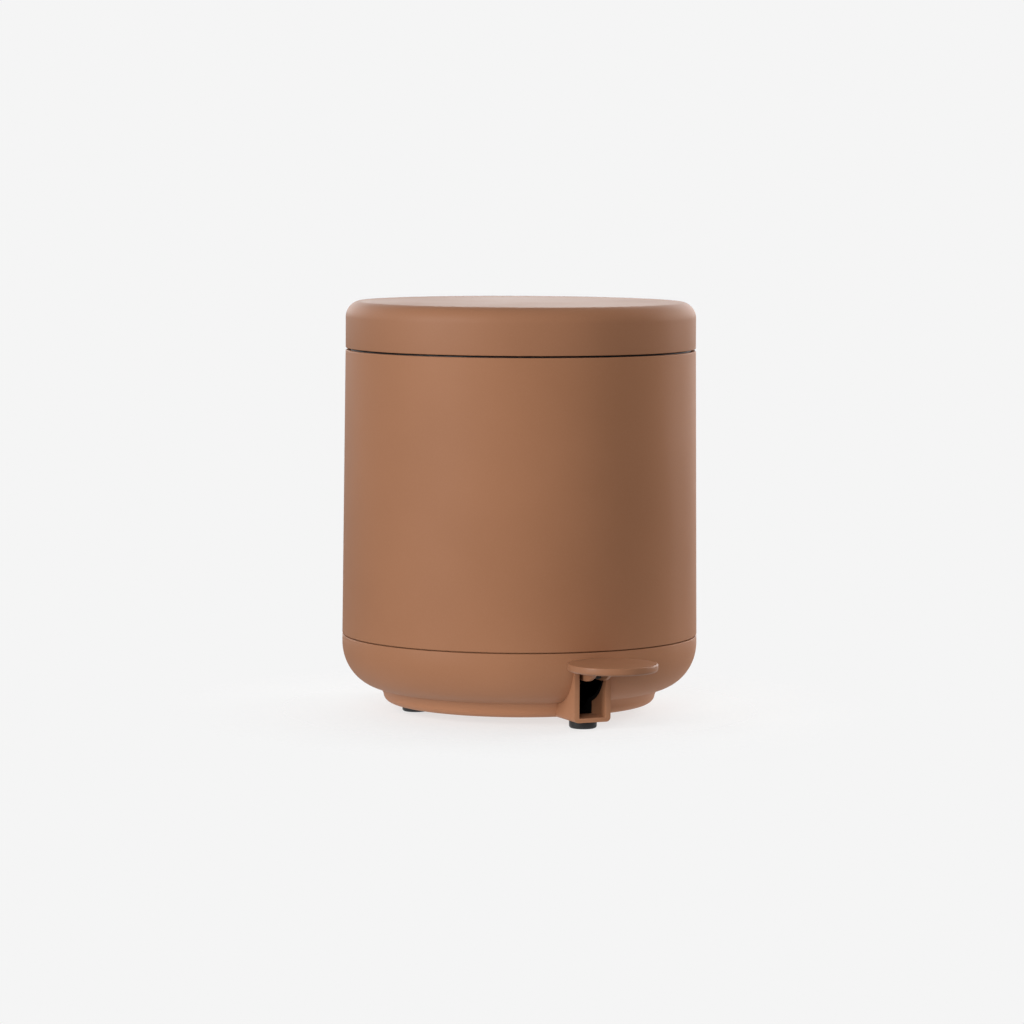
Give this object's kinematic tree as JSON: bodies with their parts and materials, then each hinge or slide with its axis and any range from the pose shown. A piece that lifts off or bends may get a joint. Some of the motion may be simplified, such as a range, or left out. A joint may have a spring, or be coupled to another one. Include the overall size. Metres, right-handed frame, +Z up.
{
  "type": "pedal trash can",
  "caption": "Small round trash can with a hinged lid that a foot pedal lifts through a push rod, and a lift-out bucket inside.",
  "frame": {"origin": "centre of the bounding box's bottom face, on the floor, 25.1 mm in front of the can's upright axis", "axes": "+Z up, -Y toward the pedal, +Y toward the lid's hinge, +X to the right of someone who faces the can along +Y"},
  "size_m": [0.2, 0.2502, 0.23],
  "materials": {
    "satin_brown_plastic": "satin soft-touch brown, moulded through",
    "black_plastic": "fine-textured black",
    "dark_grey_plastic": "fine-textured dark grey",
    "black_rubber": "matt black",
    "zinc_plated_steel": "zinc plated"
  },
  "bodies": {
    "can_body": {"base_bowl": "satin_brown_plastic", "outer_shell": "satin_brown_plastic", "rim_ring": "black_plastic", "hinge_housing": "satin_brown_plastic", "hinge_pin": "zinc_plated_steel", "hinge_screw_left": "zinc_plated_steel", "hinge_screw_right": "zinc_plated_steel", "rod_cover": "black_plastic", "rod_guide_lower": "black_plastic", "rod_guide_upper": "black_plastic", "lever_axle": "zinc_plated_steel", "axle_clamp_left": "black_plastic", "axle_clamp_right": "black_plastic", "clamp_screw_1": "zinc_plated_steel", "clamp_screw_2": "zinc_plated_steel", "clamp_screw_3": "zinc_plated_steel", "clamp_screw_4": "zinc_plated_steel", "base_screw_1": "zinc_plated_steel", "base_screw_2": "zinc_plated_steel", "base_screw_3": "zinc_plated_steel", "base_screw_4": "zinc_plated_steel", "foot_front": "black_rubber", "foot_left": "black_rubber", "foot_right": "black_rubber", "foot_rear": "black_rubber", "inner_bucket": "dark_grey_plastic", "bucket_handle": "zinc_plated_steel"},
    "lid": {"lid_shell": "satin_brown_plastic", "lid_inner_panel": "black_plastic", "lid_hinge_bracket": "dark_grey_plastic", "crank_pin": "zinc_plated_steel", "lid_screw_1": "zinc_plated_steel", "lid_screw_2": "zinc_plated_steel", "lid_screw_3": "zinc_plated_steel", "lid_bumper_1": "black_rubber", "lid_bumper_2": "black_rubber", "lid_bumper_3": "black_rubber", "lid_bumper_4": "black_rubber"},
    "pedal": {"pedal_plate": "satin_brown_plastic", "pedal_lever": "black_plastic", "pedal_screw": "zinc_plated_steel"},
    "push_rod_group": {"push_rod": "zinc_plated_steel", "rod_yoke": "black_plastic", "rod_clip": "zinc_plated_steel"}
  },
  "joints": [
    {"name": "lid_hinge", "type": "hinge", "parent": "can_body", "child": "lid", "pos_m": [0, 0.1161, 0.2056], "axis": [-1, 0, 0], "range_deg": [0, 80]},
    {"name": "pedal_hinge", "type": "hinge", "parent": "can_body", "child": "pedal", "pos_m": [0, 0.0131, 0.0293], "axis": [1, 0, 0], "range_deg": [0, 9.6]},
    {"name": "rod_slide", "type": "slide", "parent": "can_body", "child": "push_rod_group", "axis": [0, 0, 1], "range_m": [0, 0.0155]}
  ],
  "couplings": [
    {"joint": "pedal_hinge", "follows": "lid_hinge", "ratio": 0.1194},
    {"joint": "rod_slide", "follows": "lid_hinge", "m_per_rad": 0.01105}
  ]
}
